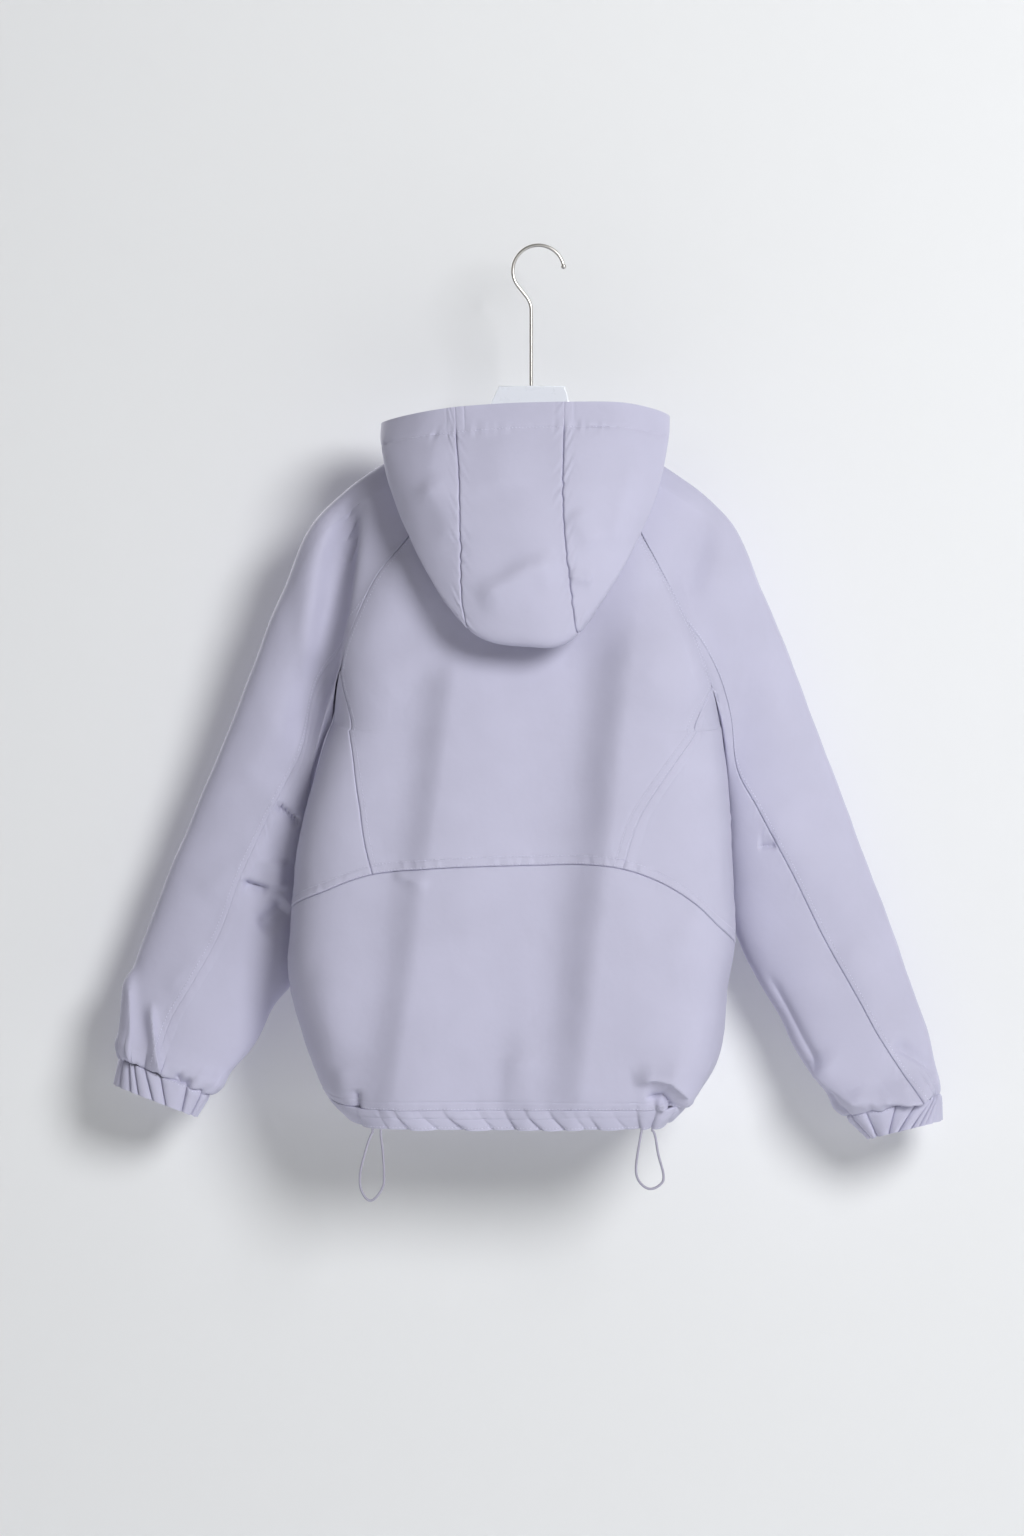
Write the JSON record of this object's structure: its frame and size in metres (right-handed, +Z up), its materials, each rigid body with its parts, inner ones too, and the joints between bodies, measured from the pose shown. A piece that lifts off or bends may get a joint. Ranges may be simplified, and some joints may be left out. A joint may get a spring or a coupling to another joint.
{
  "type": "rain jacket",
  "caption": "Hooded raglan rain jacket in thin matte lilac cloth with a curved back yoke, gathered cuffs and hem, a full zip at the front and cord loops, on a hanger.",
  "frame": {"origin": "inside of the crest of the hanger's hook, where a rail carries it", "axes": "+Z up, +Y out of the jacket's front so that its back faces -Y, +X towards the wearer's right"},
  "size_m": [0.8345, 0.2175, 0.9552],
  "materials": {
    "shell_cloth": "matte woven nylon, lilac",
    "zip_tape": "woven tape, lilac",
    "cord": "braided cord, grey lilac",
    "steel": "plain bright steel",
    "board": "smooth pale plastic"
  },
  "bodies": {
    "jacket": {"back_upper": "shell_cloth", "back_side_left": "shell_cloth", "back_side_right": "shell_cloth", "back_lower": "shell_cloth", "front_left": "shell_cloth", "front_right": "shell_cloth", "zip_tape_left": "zip_tape", "zip_tape_right": "zip_tape", "hem_casing_back": "shell_cloth", "hem_casing_front_left": "shell_cloth", "hem_casing_front_right": "shell_cloth", "sleeve_upper_left": "shell_cloth", "sleeve_upper_right": "shell_cloth", "sleeve_under_left": "shell_cloth", "sleeve_under_right": "shell_cloth", "cuff_left": "shell_cloth", "cuff_right": "shell_cloth", "hood_centre": "shell_cloth", "hood_side_left": "shell_cloth", "hood_side_right": "shell_cloth", "hem_cord_left": "cord", "hem_cord_right": "cord", "hanger_hook": "steel", "hanger_board": "board", "zip_slider": "steel"},
    "zip_pull": {"zip_pull_tab": "steel"}
  },
  "joints": [
    {"name": "pull_tab_swing", "type": "hinge", "parent": "jacket", "child": "zip_pull", "pos_m": [-0.0069, 0.0592, -0.3023], "axis": [1, 0, 0], "range_deg": [0, 140]}
  ]
}
